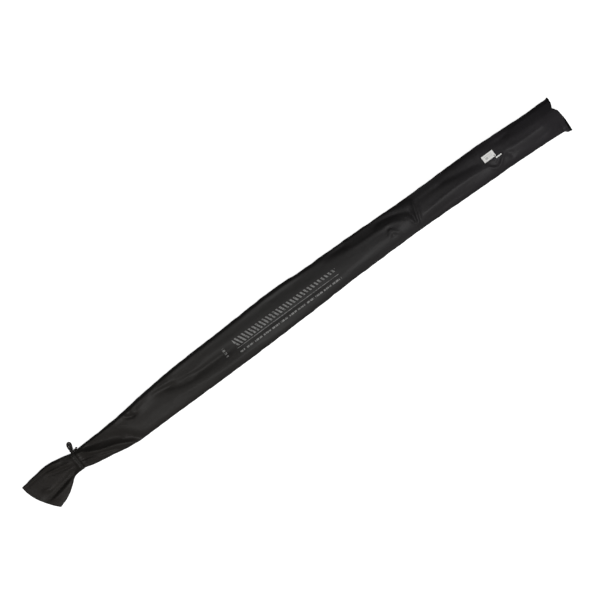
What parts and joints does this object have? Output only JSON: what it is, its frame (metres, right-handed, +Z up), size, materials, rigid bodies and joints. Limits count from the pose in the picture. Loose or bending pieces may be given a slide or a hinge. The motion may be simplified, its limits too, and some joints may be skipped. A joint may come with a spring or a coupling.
{
  "type": "fishing rod in cloth sleeve",
  "caption": "Take-apart trolling rod with trigger reel seat and ring guides, packed in a long black cloth sleeve tied shut at its neck, with a swing tag.",
  "frame": {"origin": "on the flat underside of the lying sleeve, near the middle of its length", "axes": "+X along the sleeve from the tied mouth to the closed end, +Z up from the surface it lies on"},
  "size_m": [1.385, 0.1055, 0.038],
  "materials": {
    "cloth": "plain woven cloth, black, soft sheen",
    "ribbon": "laid cotton cord, black",
    "card": "smooth white card",
    "white_plastic": "moulded white plastic",
    "blank": "gloss lacquer over woven fibre",
    "cap_rubber": "matt moulded rubber",
    "foam": "fine closed-cell foam",
    "bright_aluminium": "turned and polished",
    "seat_plastic": "moulded black plastic",
    "arbor": "light bush",
    "steel": "polished stainless steel",
    "thread": "wound thread under clear resin",
    "ceramic": "polished dark ceramic"
  },
  "bodies": {
    "bag": {"bag_cloth": "cloth", "tie_wrap": "ribbon", "tie_knot": "ribbon", "tie_loop": "ribbon", "tie_ends": "ribbon", "tag_fastener": "white_plastic"},
    "butt_section": {"butt_blank": "blank", "butt_cap": "cap_rubber", "rear_grip": "foam", "trim_ring": "bright_aluminium", "reel_seat": "seat_plastic", "seat_arbors": "arbor", "fore_grip": "foam", "winding_check": "bright_aluminium", "hook_keeper": "steel", "keeper_wraps": "thread", "butt_guide_wraps": "thread", "guide_1_frame": "steel", "guide_1_ring": "ceramic", "guide_2_frame": "steel", "guide_2_ring": "ceramic"},
    "tip_section": {"tip_blank": "blank", "socket_wrap": "thread", "tip_guide_wraps": "thread", "tip_top_frame": "steel", "tip_top_ring": "ceramic", "tip_top_wrap": "thread", "guide_3_frame": "steel", "guide_3_ring": "ceramic", "guide_4_frame": "steel", "guide_4_ring": "ceramic", "guide_5_frame": "steel", "guide_5_ring": "ceramic", "guide_6_frame": "steel", "guide_6_ring": "ceramic", "guide_7_frame": "steel", "guide_7_ring": "ceramic", "guide_8_frame": "steel", "guide_8_ring": "ceramic"},
    "hood": {"sliding_hood": "steel"},
    "lock_nut": {"lock_nut": "seat_plastic"},
    "tag": {"swing_tag": "card"}
  },
  "joints": [
    {"name": "butt_section_slide", "type": "slide", "parent": "bag", "child": "butt_section", "axis": [1, 0, 0], "range_m": [-0.04, 0]},
    {"name": "tip_section_slide", "type": "slide", "parent": "bag", "child": "tip_section", "axis": [1, 0, 0], "range_m": [-0.04, 0.008]},
    {"name": "hood_slide", "type": "slide", "parent": "butt_section", "child": "hood", "axis": [0.9999, 0.0076, 0.0073], "range_m": [0, 0.018]},
    {"name": "lock_nut_turn", "type": "hinge", "parent": "hood", "child": "lock_nut", "pos_m": [0.21802, -0.00925, 0.01397], "axis": [0.9999, 0.0076, 0.0073], "range_deg": [0, 2592]},
    {"name": "tag_swing", "type": "hinge", "parent": "bag", "child": "tag", "pos_m": [0.52586, -0.00178, 0.03534], "axis": [0, 0.1152, 0.9933], "range_deg": [-25, 25]}
  ],
  "couplings": [
    {"joint": "lock_nut_turn", "follows": "hood_slide", "rad_per_m": 2513.3}
  ]
}
